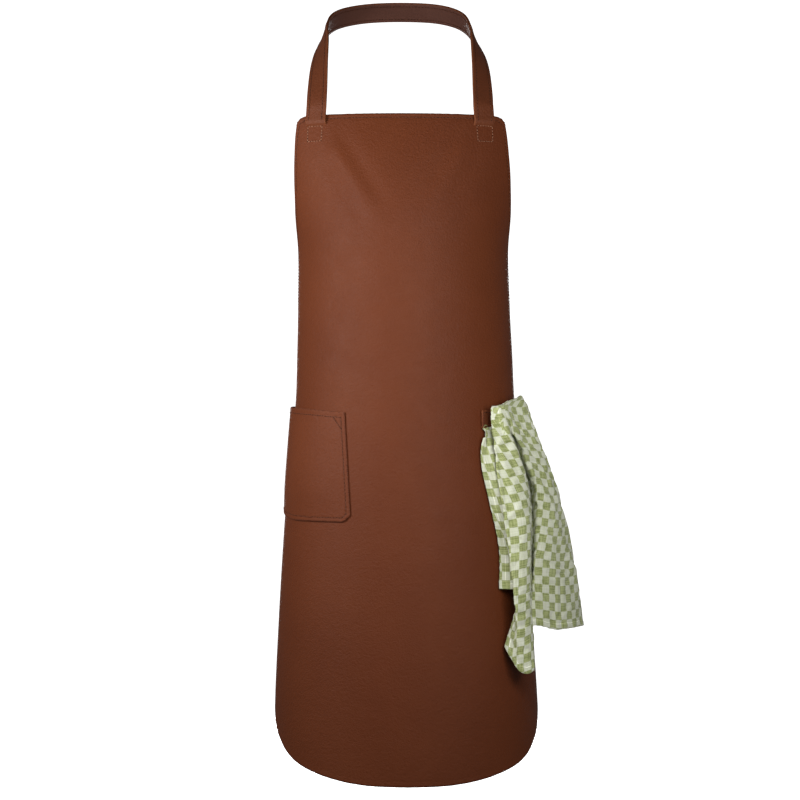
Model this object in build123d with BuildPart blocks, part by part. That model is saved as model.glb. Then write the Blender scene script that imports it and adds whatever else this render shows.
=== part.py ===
"""Leather bib apron with a neck strap, a side pocket, a towel loop, a waist strap and a hanging tea towel.

Frame: millimetres, +Z up, +X to the viewer's right, the front of the apron faces -Y.
The origin is the middle of the neck strap's inner face, where it bears on the neck or on a hook.
The apron is modelled as worn: the leather wraps an upright body form of elliptical cross-sections.
"""

import os
from math import cos, radians, sin

from build123d import *

os.makedirs("parts", exist_ok=True)

# Leather and fit
hide = 2.0              # thickness of the apron leather
fit_gap = 0.7           # clearance between two sewn pieces on the curved leather
body_y = -88.0          # the body form's vertical axis, seen from the neck

# Apron panel
bib_top_z = -151.0
hem_z = -979.5
slit_drop = 8.0         # from the bib's top edge to the middle of each strap slit
slit_height = 5.4

# The body form: height, half width, half depth, sideways lean of the centre
form_sections = [
    (-140.0, 167.0, 97.0, 1.0),
    (bib_top_z, 165.0, 100.0, 1.0),
    (-206.0, 155.0, 115.0, 2.0),
    (-266.0, 143.5, 125.0, 3.5),
    (-316.0, 134.0, 127.0, 4.0),
    (-391.0, 135.0, 127.5, 5.0),
    (-446.0, 137.0, 128.0, 6.0),
    (-506.0, 139.4, 130.0, 6.5),
    (-566.0, 145.5, 131.5, 7.0),
    (-621.0, 151.0, 133.0, 7.0),
    (-696.0, 156.5, 135.0, 7.5),
    (-793.0, 162.0, 137.0, 8.0),
    (-886.0, 167.0, 139.0, 9.0),
    (-990.0, 169.5, 140.5, 10.0),
]

# Side outline of the panel, from the bib corner down the edge and round the hem:
# distance behind the body axis and height
bib_corner = [(-74.0, bib_top_z), (-61.0, -166.0)]
side_edge = [(-61.0, -166.0), (-56.0, -206.0), (-41.0, -262.0), (-14.0, -318.0), (13.0, -391.0),
             (31.0, -446.0), (37.0, -506.0), (40.0, -621.0), (42.0, -740.0), (40.0, -815.0)]
hem_corner = [(40.0, -815.0), (22.0, -862.0), (-14.0, -907.0), (-52.0, -939.0), (-75.0, -954.0),
              (-108.0, -968.5), (-145.0, hem_z - 1.5)]

# Neck strap: an outer leather and a lining, glued back to back
strap_width = 28.0
strap_outer = 1.6
strap_lining = 1.3
glue_line = 0.15
strap_gap = 3.5         # between the swinging loop and its sewn ends, at the bib's top edge
strap_overlap = 1.0     # the sewn ends stand this far above the bib's top edge
strap_foot_x = 104.0    # middle of each sewn end, across
tab_length = 30.0       # the sewn tab behind the bib, below its slit
tab_clearance = 1.4     # its clearance behind the curved bib

# Bearing face of the loop from the viewer's left to right, and the way its back points
loop_path = [
    ((-102.5, -158.0, -122.0), (-0.46, -0.83, 0.32)),
    ((-100.5, -139.0, -86.0), (-0.62, -0.72, 0.30)),
    ((-97.0, -117.0, -57.0), (-0.82, -0.48, 0.30)),
    ((-93.5, -92.0, -38.0), (-0.97, -0.05, 0.25)),
    ((-86.0, -60.0, -22.0), (-0.86, 0.38, 0.34)),
    ((-70.0, -29.0, -10.5), (-0.62, 0.62, 0.48)),
    ((-40.0, -7.0, -2.5), (-0.28, 0.76, 0.58)),
    ((0.0, 0.0, 0.0), (0.0, 0.80, 0.60)),
    ((40.0, -7.5, -2.5), (0.28, 0.76, 0.58)),
    ((66.0, -26.0, -10.0), (0.62, 0.62, 0.48)),
    ((82.0, -56.0, -22.5), (0.86, 0.38, 0.34)),
    ((90.5, -88.0, -40.0), (0.97, -0.05, 0.25)),
    ((96.5, -115.0, -61.0), (0.82, -0.48, 0.30)),
    ((100.5, -137.5, -89.0), (0.62, -0.72, 0.30)),
    ((102.5, -157.0, -123.0), (0.46, -0.83, 0.32)),
]

# Side pocket, on the viewer's left
pocket_room = 5.4       # open depth behind the pocket leather
pocket_top = (-68.0, -521.5)
pocket_bottom = (-60.5, -656.0)
pocket_chamfer = 8.0
pocket_slope = 13.0     # the top edge drops this far from the side to the front
pocket_side_x = -220.0  # past the apron's side, where the top and bottom edges run out
pocket_back_y = body_y + 24.0
pocket_seam = 7.0       # sewn rim round the pocket room

# Towel loop, on the viewer's right: a band sewn at both ends
loop_top_z = -519.0
loop_height = 22.0
loop_stand_off = 12.4
loop_leather = 2.2
loop_angles = (41.0, 46.0, 50.5, 55.0, 71.0, 87.0, 93.0, 98.5, 103.0)

# Waist strap, sewn inside the panel on the viewer's left and closed behind by press studs
waist_z = -462.0        # middle of the strap
waist_width = 28.0
waist_leather = 2.4
anchor_angles = (-118.0, -94.0)
waist_strap_angles = (128.0, 241.0)
strap_step_angles = (165.0, 225.0)  # between these the strap eases from outside the tab to the anchor's depth
waist_tab_angles = (95.0, 153.0)
stud_angles = (133.0, 147.0)
stud_shank = 1.9        # radius of the shank through the leather
cap_radius = 6.6
socket_radius = 6.0
socket_mouth = 3.6
stud_radius = 5.0
stud_nub = 1.5

# Tea towel, folded over the loop: its back half passes down through the loop
towel_layer = 4.6       # the gathered back half
towel_fold = 7.0        # the gathered front half
towel_back_angles = (54.0, 84.0)
towel_front_angles = (47.0, 90.0)
# Height and stand-off of each half's inner face
towel_back_path = [(-498.0, 7.0), (-520.0, 5.6), (-545.0, 3.8), (-570.0, 2.4), (-640.0, 1.4),
                   (-704.0, 1.4)]
towel_front_path = [(-498.0, 19.6), (-520.0, 19.2), (-545.0, 18.2), (-600.0, 24.0), (-700.0, 35.0),
                    (-800.0, 43.0), (-832.0, 44.0)]
towel_crown_z = -492.0


def form_at(height):
    """Half width, half depth and lean of the body form at a height, smooth through the sections."""
    last = len(form_sections) - 2
    i = next((k for k in range(last) if height >= form_sections[k + 1][0]), last)
    around = [form_sections[min(max(k, 0), last + 1)] for k in (i - 1, i, i + 1, i + 2)]
    before, upper, lower, after = around
    span = upper[0] - lower[0]
    share = (upper[0] - height) / span
    values = []
    for p0, p1, p2, p3 in zip(before[1:], upper[1:], lower[1:], after[1:]):
        slope_1 = (p2 - p0) * span / max(before[0] - lower[0], span)
        slope_2 = (p3 - p1) * span / max(upper[0] - after[0], span)
        values.append(p1 + slope_1 * share + (3 * (p2 - p1) - 2 * slope_1 - slope_2) * share ** 2
                      + (2 * (p1 - p2) + slope_1 + slope_2) * share ** 3)
    return values


def form_point(angle, height, stand_off=0.0):
    """A point off the form; the angle is in degrees from the front towards +X."""
    half_width, half_depth, lean = form_at(height)
    t = radians(angle)
    x = lean + (half_width + stand_off) * sin(t)
    return Vector(x, body_y - (half_depth + stand_off) * cos(t), height)


def steps(start, end, count):
    return [start + (end - start) * k / count for k in range(count + 1)]


def smooth_sheet(grid):
    """A smooth face through rows of points."""
    return Face.make_surface_from_array_of_points(grid, tol=0.1, min_deg=3, max_deg=3)


def form_sheet(angles, path):
    """A smooth sheet over the form between two angles; path lists (height, stand-off) pairs."""
    columns = max(4, round(abs(angles[1] - angles[0]) / 7))
    return smooth_sheet([[form_point(a, height, off) for a in steps(*angles, columns)] for height, off in path])


def level_path(top, bottom, stand_off):
    """Evenly spaced (height, stand-off) pairs about 25 mm apart."""
    count = max(3, round((top - bottom) / 25))
    return [(height, stand_off) for height in steps(top, bottom, count)]


def at_axis(points):
    """(distance behind the body axis, height) pairs, as points of the YZ plane."""
    return [(y + body_y, z) for y, z in points]


def strap_foot(side):
    """Plane on the bib's outer face at the middle of a slit: x across, y up the leather, z outwards."""
    height = bib_top_z - slit_drop

    def front_y(z):
        half_width, half_depth, lean = form_at(z)
        return body_y - half_depth * (1 - ((side * strap_foot_x - lean) / half_width) ** 2) ** 0.5

    half_width, half_depth, lean = form_at(height)
    x, y = side * strap_foot_x - lean, front_y(height) - body_y
    across = Vector(-y / half_depth ** 2, x / half_width ** 2, 0).normalized()
    up = Vector(0, front_y(height + 8) - front_y(height - 22), 30).normalized()
    out = across.cross(up).normalized()
    up = out.cross(across)
    return Plane(origin=(side * strap_foot_x, front_y(height), height), x_dir=across, z_dir=out)


feet = {"left": strap_foot(-1), "right": strap_foot(1)}

# ---- Apron panel: one hide wrapped round the form, cut to its side outline ----
with BuildPart() as apron_panel:
    thicken(form_sheet((-121, 121), level_path(bib_top_z + 12, hem_z - 9, 0)), amount=-hide)
    with BuildSketch(Plane.YZ):
        with BuildLine():
            front_top = (-200 + body_y, bib_top_z)
            front_bottom = (-200 + body_y, hem_z - 2)
            Line(front_top, at_axis(bib_corner)[0])
            TangentArc(*at_axis(bib_corner), tangent=(1, 0))
            Spline(*at_axis(side_edge), tangents=((0.05, -1), (-0.12, -1)))
            corner = Spline(*at_axis(hem_corner), tangents=((-0.12, -1), (-1, -0.12)))
            Polyline(corner @ 1, front_bottom, front_top)
        make_face()
    extrude(amount=300, both=True, mode=Mode.INTERSECT)
    for foot in feet.values():
        with BuildSketch(foot):
            Rectangle(strap_width + 3, slit_height)
        extrude(amount=12, both=True, mode=Mode.SUBTRACT)
apron_panel.part.label = "apron_panel"

# ---- Sewn ends of the neck strap: over the bib's top edge, through the slit, down behind ----
strap_ends = {}
strap_thickness = strap_outer + glue_line + strap_lining
behind = -hide - tab_clearance
for name, foot in feet.items():
    with BuildPart() as strap_end:
        side_plane = Plane(origin=foot.origin, x_dir=foot.z_dir, z_dir=foot.x_dir)
        with BuildSketch(side_plane):
            with BuildLine():
                over = slit_drop + strap_overlap
                half = strap_thickness / 2
                front = fit_gap + strap_thickness
                back = behind - strap_thickness
                Polyline((fit_gap, over), (front, over), (front, -half), (behind, -half),
                         (behind, -tab_length), (back, -tab_length), (back, half), (fit_gap, half),
                         close=True)
            make_face()
        extrude(amount=strap_width / 2, both=True)
    strap_end.part.label = f"neck_strap_{name}_end"
    strap_ends[name] = strap_end

# ---- Neck strap loop ----
top_of_end = slit_drop + strap_overlap


def loop_foot(foot):
    """The loop's two lowest stations on one side, in line with the sewn end there."""
    base = foot.origin + foot.z_dir * fit_gap
    return [(base + foot.y_dir * (top_of_end + strap_gap + rise), foot.z_dir) for rise in (0, 9)]


def loop_stations():
    """Points and back directions along the loop, from the viewer's left to right."""
    middle = [(Vector(*p), Vector(*n)) for p, n in loop_path]
    return [*loop_foot(feet["left"]), *middle, *reversed(loop_foot(feet["right"]))]


def between(stations, per_span=4):
    """The stations with smoothly interpolated ones between them."""
    smooth = []
    for i in range(len(stations) - 1):
        a, b = stations[i], stations[i + 1]
        before, after = stations[max(i - 1, 0)], stations[min(i + 2, len(stations) - 1)]
        for k in range(per_span):
            t = k / per_span
            mixed = []
            for p0, p1, p2, p3 in zip(before, a, b, after):
                mixed.append(0.5 * (p1 * 2 + (p2 - p0) * t + (p0 * 2 - p1 * 5 + p2 * 4 - p3) * t ** 2
                                    + (p1 * 3 - p0 - p2 * 3 + p3) * t ** 3))
            smooth.append(tuple(mixed))
    return smooth + [stations[-1]]


def loop_sheet(stand_off):
    """A smooth ribbon along the loop, off its bearing face."""
    stations = between(loop_stations())
    points = [p for p, n in stations]
    grid = []
    for i, (p, n) in enumerate(stations):
        run = (points[min(i + 1, len(points) - 1)] - points[max(i - 1, 0)]).normalized()
        across = n.cross(run).normalized()
        out = run.cross(across).normalized()
        grid.append([p + out * stand_off + across * x for x in steps(-strap_width / 2, strap_width / 2, 4)])
    return smooth_sheet(grid)


with BuildPart() as neck_strap_lining:
    thicken(loop_sheet(0), amount=strap_lining)
neck_strap_lining.part.label = "neck_strap_lining"

with BuildPart() as neck_strap_outer:
    thicken(loop_sheet(strap_lining + glue_line), amount=strap_outer)
neck_strap_outer.part.label = "neck_strap_outer"

# ---- Side pocket: a leather pouch, sewn on three sides and open at the top ----


def pocket_outline(inset, top_rise=0.0):
    """The pocket seen from the front, as corner points in the XZ plane."""
    top_x, top_z = pocket_top
    bottom_x, bottom_z = pocket_bottom
    top_z, bottom_z = top_z + top_rise, bottom_z + inset
    cut = max(pocket_chamfer - inset / 2, 1.0)
    return [(pocket_side_x, top_z + pocket_slope), (top_x - inset, top_z), (bottom_x - inset, bottom_z + cut),
            (bottom_x - inset - cut, bottom_z), (pocket_side_x, bottom_z)]


def front_cut(outline, back_y):
    """A prism through the outline, from well in front of the apron back to back_y."""
    with BuildPart(mode=Mode.PRIVATE) as prism:
        with BuildSketch(Plane.XZ.offset(-back_y)):
            with BuildLine():
                Polyline(*outline, close=True)
            make_face()
        extrude(amount=back_y - body_y + 300)
    return prism.part


with BuildPart() as open_depth:
    room_path = level_path(pocket_top[1] + 40, pocket_bottom[1] - 35, fit_gap - 3)
    thicken(form_sheet((-114, -12), room_path), amount=pocket_room + 3)
    add(front_cut(pocket_outline(pocket_seam, 30.0), pocket_back_y - pocket_seam), mode=Mode.INTERSECT)

with BuildPart() as side_pocket:
    pocket_path = level_path(pocket_top[1] + 30, pocket_bottom[1] - 25, fit_gap)
    thicken(form_sheet((-112, -14), pocket_path), amount=pocket_room + hide)
    add(front_cut(pocket_outline(0), pocket_back_y), mode=Mode.INTERSECT)
    add(open_depth.part, mode=Mode.SUBTRACT)
side_pocket.part.label = "side_pocket"

# ---- Towel loop: a leather band standing off the panel, sewn down at both ends ----
with BuildPart() as towel_loop:
    bottom_z = loop_top_z - loop_height
    sewn = fit_gap + 0.6
    offs = (sewn, sewn, loop_stand_off / 2, loop_stand_off, loop_stand_off, loop_stand_off,
            loop_stand_off / 2, sewn, sewn)
    with BuildSketch(Plane.XY.offset(bottom_z)):
        with BuildLine():
            inner = [form_point(a, bottom_z, off) for a, off in zip(loop_angles, offs)]
            outer = [form_point(a, bottom_z, off + loop_leather) for a, off in zip(loop_angles, offs)]
            inner_line = Spline(*[(p.X, p.Y) for p in inner])
            outer_line = Spline(*[(p.X, p.Y) for p in outer])
            Line(inner_line @ 0, outer_line @ 0)
            Line(inner_line @ 1, outer_line @ 1)
        make_face()
    extrude(amount=loop_height)
towel_loop.part.label = "towel_loop"

# ---- Tea towel: two halves joined by a crown over the loop ----
with BuildPart() as tea_towel:
    thicken(form_sheet(towel_back_angles, towel_back_path), amount=towel_layer)
    thicken(form_sheet(towel_front_angles, towel_front_path), amount=towel_fold)
    with BuildSketch(Plane.XY.offset(towel_front_path[0][0] - 5)):
        with BuildLine():
            angles = steps(*towel_back_angles, 4)
            near = towel_back_path[0][1] + 0.4
            far = towel_front_path[0][1] + towel_fold - 0.4
            inner = [form_point(a, towel_crown_z, near) for a in angles]
            outer = [form_point(a, towel_crown_z, far) for a in angles]
            inner_line = Spline(*[(p.X, p.Y) for p in inner])
            outer_line = Spline(*[(p.X, p.Y) for p in outer])
            Line(inner_line @ 0, outer_line @ 0)
            Line(inner_line @ 1, outer_line @ 1)
        make_face()
    extrude(amount=towel_crown_z - towel_front_path[0][0] + 5)
tea_towel.part.label = "tea_towel"

# ---- Waist strap: sewn end inside the panel, the strap round the back, and the tab it closes on ----
strap_face = fit_gap                                # the strap's inner face off the form, where it closes
tab_face = -hide - fit_gap                          # the tab's outer face, inside the panel
inside_face = tab_face - waist_leather              # inner face of the leather sewn inside the panel


def waist_band(angles, stand_offs):
    """A level band of leather over the form; its inner face stands off the form by one value or, with two,
    by a value that eases from the first to the second between the step angles."""
    columns = max(4, round(abs(angles[1] - angles[0]) / 7))
    first, second = stand_offs[0], stand_offs[-1]
    begin, end = strap_step_angles
    line = []
    for angle in steps(*angles, columns):
        share = min(max((angle - begin) / (end - begin), 0.0), 1.0)
        line.append((angle, first + (second - first) * share ** 2 * (3 - 2 * share)))
    heights = steps(waist_z + waist_width / 2, waist_z - waist_width / 2, 3)
    grid = [[form_point(angle, height, off) for angle, off in line] for height in heights]
    return Solid.thicken(smooth_sheet(grid), waist_leather)


def stud_plane(angle):
    """Plane on the form at a press stud, z outwards."""
    half_width, half_depth, lean = form_at(waist_z)
    t = radians(angle)
    normal = Vector(sin(t) / half_width, -cos(t) / half_depth, 0).normalized()
    return Plane(origin=form_point(angle, waist_z), x_dir=(0, 0, 1), z_dir=normal)


stud_planes = [stud_plane(angle) for angle in stud_angles]

with BuildPart() as waist_strap_anchor:
    add(waist_band(anchor_angles, (inside_face,)))
waist_strap_anchor.part.label = "waist_strap_anchor"

with BuildPart() as waist_strap:
    add(waist_band(waist_strap_angles, (strap_face, inside_face)))
    for plane in stud_planes:
        with BuildSketch(plane):
            Circle(stud_shank + 0.1)
        extrude(amount=10, both=True, mode=Mode.SUBTRACT)
waist_strap.part.label = "waist_strap"

with BuildPart() as waist_tab:
    add(waist_band(waist_tab_angles, (inside_face,)))
    for plane in stud_planes:
        with BuildSketch(plane):
            Circle(stud_shank + 0.1)
        extrude(amount=10, both=True, mode=Mode.SUBTRACT)
waist_tab.part.label = "waist_tab"

# ---- Press studs: cap and socket on the strap, stud and post on the tab ----
seat = 0.3              # a flat disc's clearance on the curved leather
studs = []
for number, plane in enumerate(stud_planes, start=1):
    strap_out = strap_face + waist_leather
    socket_top = strap_face - seat
    socket_bottom = socket_top - 2.0
    stud_bottom = tab_face + seat
    post_top = tab_face - waist_leather - seat

    with BuildPart() as cap:
        with BuildSketch(plane.offset(strap_out + seat)):
            Circle(cap_radius)
        extrude(amount=1.6)
        fillet(cap.faces().sort_by(Axis(plane.origin, plane.z_dir))[-1].edges(), radius=1.1)
        with BuildSketch(plane.offset(socket_top + 0.05)):
            Circle(stud_shank)
        extrude(amount=strap_out + seat - socket_top)
    cap.part.label = f"press_stud_{number}_cap"

    with BuildPart() as socket:
        with BuildSketch(plane.offset(socket_bottom)):
            Circle(socket_radius)
            Circle(socket_mouth, mode=Mode.SUBTRACT)
        extrude(amount=1.4)
        with BuildSketch(plane.offset(socket_bottom + 1.4)):
            Circle(socket_radius)
        extrude(amount=0.6)
    socket.part.label = f"press_stud_{number}_socket"

    with BuildPart() as stud:
        with BuildSketch(plane.offset(stud_bottom)):
            Circle(stud_radius)
        extrude(amount=0.5)
        with BuildSketch(plane.offset(stud_bottom + 0.5)):
            Circle(stud_nub)
        extrude(amount=socket_bottom + 1.0 - stud_bottom - 0.5)
    stud.part.label = f"press_stud_{number}_stud"

    with BuildPart() as post:
        with BuildSketch(plane.offset(post_top - 1.0)):
            Circle(stud_radius)
        extrude(amount=1.0)
        with BuildSketch(plane.offset(post_top)):
            Circle(stud_shank)
        extrude(amount=stud_bottom - 0.05 - post_top)
    post.part.label = f"press_stud_{number}_post"
    studs += [cap, socket, stud, post]

for piece in (apron_panel, *strap_ends.values(), neck_strap_lining, neck_strap_outer, side_pocket,
              towel_loop, tea_towel, waist_strap_anchor, waist_strap, waist_tab, *studs):
    export_step(piece.part, f"parts/{piece.part.label}.step")

hinge_height = top_of_end + strap_gap / 2
for name, foot in feet.items():
    pivot = foot.origin + foot.y_dir * hinge_height + foot.z_dir * (fit_gap + strap_thickness / 2)
    print(f"panel_swing pivot, {name}: {pivot}")
strap_pivot = (anchor_angles[0] + waist_strap_angles[1] - 360) / 2
print("waist_strap_swing pivot:", form_point(strap_pivot, waist_z, inside_face + waist_leather / 2))
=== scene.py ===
"""Looks for the leather bib apron: hide, straps, stitches, pocket, towel loop, tea towel. Metres, +Z up."""

import math

import bpy
import numpy as np
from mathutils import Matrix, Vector
from mathutils.bvhtree import BVHTree
from mathutils.kdtree import KDTree


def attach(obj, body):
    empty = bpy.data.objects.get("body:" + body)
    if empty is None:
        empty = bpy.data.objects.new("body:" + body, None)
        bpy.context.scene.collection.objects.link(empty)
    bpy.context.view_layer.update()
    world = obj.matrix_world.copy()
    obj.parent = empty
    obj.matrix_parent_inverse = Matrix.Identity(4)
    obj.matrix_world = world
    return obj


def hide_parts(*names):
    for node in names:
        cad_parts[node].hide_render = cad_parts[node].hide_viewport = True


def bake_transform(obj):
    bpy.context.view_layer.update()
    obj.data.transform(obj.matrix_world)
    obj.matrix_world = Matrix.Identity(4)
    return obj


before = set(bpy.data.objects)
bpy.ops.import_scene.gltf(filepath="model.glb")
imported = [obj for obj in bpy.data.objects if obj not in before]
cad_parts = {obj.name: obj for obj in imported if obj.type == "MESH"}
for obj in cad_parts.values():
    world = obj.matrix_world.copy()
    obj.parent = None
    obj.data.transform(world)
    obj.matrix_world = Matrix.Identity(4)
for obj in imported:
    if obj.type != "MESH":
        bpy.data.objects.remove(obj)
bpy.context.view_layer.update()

MM = 0.001
rng = np.random.default_rng(7)

# ---------------------------------------------------------------- the worn shape
hide = 2.0 * MM
fit_gap = 0.7 * MM
body_y = -88.0 * MM
bib_top_z = -151.0 * MM
slit_drop = 8.0 * MM

# The body form: height, half width, half depth, sideways lean of the centre
form_sections = MM * np.array([
    (-140.0, 167.0, 97.0, 1.0),
    (-151.0, 165.0, 100.0, 1.0),
    (-206.0, 155.0, 115.0, 2.0),
    (-266.0, 143.5, 125.0, 3.5),
    (-316.0, 134.0, 127.0, 4.0),
    (-391.0, 135.0, 127.5, 5.0),
    (-446.0, 137.0, 128.0, 6.0),
    (-506.0, 139.4, 130.0, 6.5),
    (-566.0, 145.5, 131.5, 7.0),
    (-621.0, 151.0, 133.0, 7.0),
    (-696.0, 156.5, 135.0, 7.5),
    (-793.0, 162.0, 137.0, 8.0),
    (-886.0, 167.0, 139.0, 9.0),
    (-990.0, 169.5, 140.5, 10.0),
])

# Side outline, from the bib corner to the middle of the hem: distance behind the body axis, height
bib_corner = MM * np.array([(-74.0, -151.0), (-66.5, -153.0), (-62.0, -158.5), (-61.0, -166.0)])
side_edge = MM * np.array([(-61.0, -166.0), (-56.0, -206.0), (-41.0, -262.0), (-14.0, -318.0),
                           (13.0, -391.0), (31.0, -446.0), (37.0, -506.0), (40.0, -621.0),
                           (42.0, -740.0), (40.0, -815.0), (22.0, -862.0), (-14.0, -907.0),
                           (-52.0, -939.0), (-75.0, -954.0), (-108.0, -968.5), (-132.0, -978.0),
                           (-140.2, -980.0)])

# Neck strap
strap_width = 28.0 * MM
strap_outer = 1.6 * MM
strap_lining = 1.3 * MM
glue_line = 0.15 * MM
strap_foot_x = 104.0 * MM
tab_length = 30.0 * MM
tab_clearance = 1.4 * MM
strap_seam = 9.2 * MM
loop_path = [
    ((-102.5, -158.0, -122.0), (-0.46, -0.83, 0.32)),
    ((-100.5, -139.0, -86.0), (-0.62, -0.72, 0.30)),
    ((-97.0, -117.0, -57.0), (-0.82, -0.48, 0.30)),
    ((-93.5, -92.0, -38.0), (-0.97, -0.05, 0.25)),
    ((-86.0, -60.0, -22.0), (-0.86, 0.38, 0.34)),
    ((-70.0, -29.0, -10.5), (-0.62, 0.62, 0.48)),
    ((-40.0, -7.0, -2.5), (-0.28, 0.76, 0.58)),
    ((0.0, 0.0, 0.0), (0.0, 0.80, 0.60)),
    ((40.0, -7.5, -2.5), (0.28, 0.76, 0.58)),
    ((66.0, -26.0, -10.0), (0.62, 0.62, 0.48)),
    ((82.0, -56.0, -22.5), (0.86, 0.38, 0.34)),
    ((90.5, -88.0, -40.0), (0.97, -0.05, 0.25)),
    ((96.5, -115.0, -61.0), (0.82, -0.48, 0.30)),
    ((100.5, -137.5, -89.0), (0.62, -0.72, 0.30)),
    ((102.5, -157.0, -123.0), (0.46, -0.83, 0.32)),
]

# Waist strap, towel loop and pocket
waist_z = -462.0 * MM
waist_width = 28.0 * MM
waist_leather = 2.4 * MM
loop_mid_z = -530.0 * MM
loop_height = 22.0 * MM
loop_leather = 2.2 * MM
loop_stand_off = 12.4 * MM
loop_angles = (41.0, 46.0, 50.5, 55.0, 71.0, 87.0, 93.0, 98.5, 103.0)

# Tea towel
towel_width = 0.33
hem_width = 6.5 * MM
check_size = 10.4 * MM

# Sewing
stitch_pitch = 4.2 * MM
short_pitch = 2.9 * MM
stitch_length = 3.0 * MM
thread_radius = 0.48 * MM


# ---------------------------------------------------------------- curves and surfaces
def smooth(at, knots, values):
    """Cubic curve through the values at rising knots, read at each of at. Values may be vectors."""
    at, knots, values = np.asarray(at, float), np.asarray(knots, float), np.asarray(values, float)
    last = len(knots) - 1
    ahead, behind = np.minimum(np.arange(last + 1) + 1, last), np.maximum(np.arange(last + 1) - 1, 0)
    shape = (-1,) + (1,) * (values.ndim - 1)
    slopes = (values[ahead] - values[behind]) / (knots[ahead] - knots[behind]).reshape(shape)
    i = np.clip(np.searchsorted(knots, at, side="right") - 1, 0, last - 1)
    span = (knots[i + 1] - knots[i])
    t = (np.clip(at, knots[0], knots[-1]) - knots[i]) / span
    t, span = (x.reshape(x.shape + (1,) * (values.ndim - 1)) for x in (t, span))
    p1, p2, m1, m2 = values[i], values[i + 1], slopes[i] * span, slopes[i + 1] * span
    return p1 + m1 * t + (3 * (p2 - p1) - 2 * m1 - m2) * t ** 2 + (2 * (p1 - p2) + m1 + m2) * t ** 3


def form_at(z):
    """Half width, half depth and lean of the body form at each height."""
    return np.moveaxis(smooth(-np.asarray(z, float), -form_sections[:, 0], form_sections[:, 1:]), -1, 0)


def form_point(angle, z, off=0.0):
    """Points off the form; the angle is in degrees from the front towards +X."""
    half_width, half_depth, lean = form_at(z)
    t = np.radians(angle)
    x = lean + (half_width + off) * np.sin(t)
    y = body_y - (half_depth + off) * np.cos(t)
    return np.stack(np.broadcast_arrays(x, y, z), -1)


def form_normal(angle, z):
    """Level unit normals of the form."""
    half_width, half_depth, _ = form_at(z)
    t = np.radians(angle)
    return unit(np.stack([np.sin(t) / half_width, -np.cos(t) / half_depth, np.zeros(np.shape(t))], -1))


def unit(v):
    """Vectors at length 1."""
    return v / np.maximum(np.linalg.norm(v, axis=-1, keepdims=True), 1e-12)


def grid_normals(points):
    """Unit normals of a grid of points: along-rows crossed with down-columns."""
    return unit(np.cross(np.gradient(points, axis=1), np.gradient(points, axis=0)))


def grid_quads(rows, columns):
    """Corner numbers of each quad of a grid of points, row by row."""
    index = np.arange(rows * columns).reshape(rows, columns)
    corners = [index[:-1, :-1], index[1:, :-1], index[1:, 1:], index[:-1, 1:]]
    return np.stack(corners, -1).reshape(-1, 4).tolist()


def facing_down_axis(normals, axis):
    """The normals, all turned if need be so that on the whole they point to the negative side of an axis."""
    return -normals if np.sum(normals[..., axis]) > 0 else normals


def turned_to(target, spots, directions):
    """The directions, all turned if need be so that on the whole they point from the spots to the target."""
    return -directions if np.sum(directions * (target - spots)) < 0 else directions


def arc_lengths(points):
    """Distance along a line of points, starting at 0."""
    return np.concatenate([[0.0], np.cumsum(np.linalg.norm(np.diff(points, axis=0), axis=1))])


def resample(points, count=None, step=None):
    """Points at even distances along a line: this many, or this far apart."""
    along = arc_lengths(points)
    if count is None:
        count = max(2, int(round(along[-1] / step)) + 1)
    at = np.linspace(0.0, along[-1], count)
    return np.stack([np.interp(at, along, points[:, k]) for k in range(points.shape[1])], -1)


def coons(top, bottom, left, right, u, v):
    """A grid of points filling four boundary lines, each read at its share of length."""
    def read(line, at):
        along = arc_lengths(line)
        return np.stack([np.interp(at * along[-1], along, line[:, k]) for k in range(line.shape[1])], -1)

    t, b, l, r = read(top, u), read(bottom, u), read(left, v), read(right, v)
    u, v = u[None, :, None], v[:, None, None]
    corners = ((1 - u) * (1 - v) * top[0] + u * (1 - v) * top[-1]
               + (1 - u) * v * bottom[0] + u * v * bottom[-1])
    return (1 - v) * t[None] + v * b[None] + (1 - u) * l[:, None] + u * r[:, None] - corners


def graded(fine_count, fine_step, middle):
    """Shares from 0 to 1: fine steps at both ends, even ones between."""
    start = np.arange(fine_count) * fine_step
    end = 1 - np.arange(fine_count)[::-1] * fine_step
    return np.concatenate([start, np.linspace(start[-1], end[0], middle + 1)[1:-1], end])


# ---------------------------------------------------------------- meshes
def make_object(name, points, faces, materials):
    """A smooth-shaded mesh object with its materials."""
    mesh = bpy.data.meshes.new(name)
    mesh.from_pydata([tuple(p) for p in points], [], faces)
    for material in materials:
        mesh.materials.append(material)
    mesh.polygons.foreach_set("use_smooth", [True] * len(mesh.polygons))
    obj = bpy.data.objects.new(name, mesh)
    bpy.context.scene.collection.objects.link(obj)
    return obj


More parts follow.
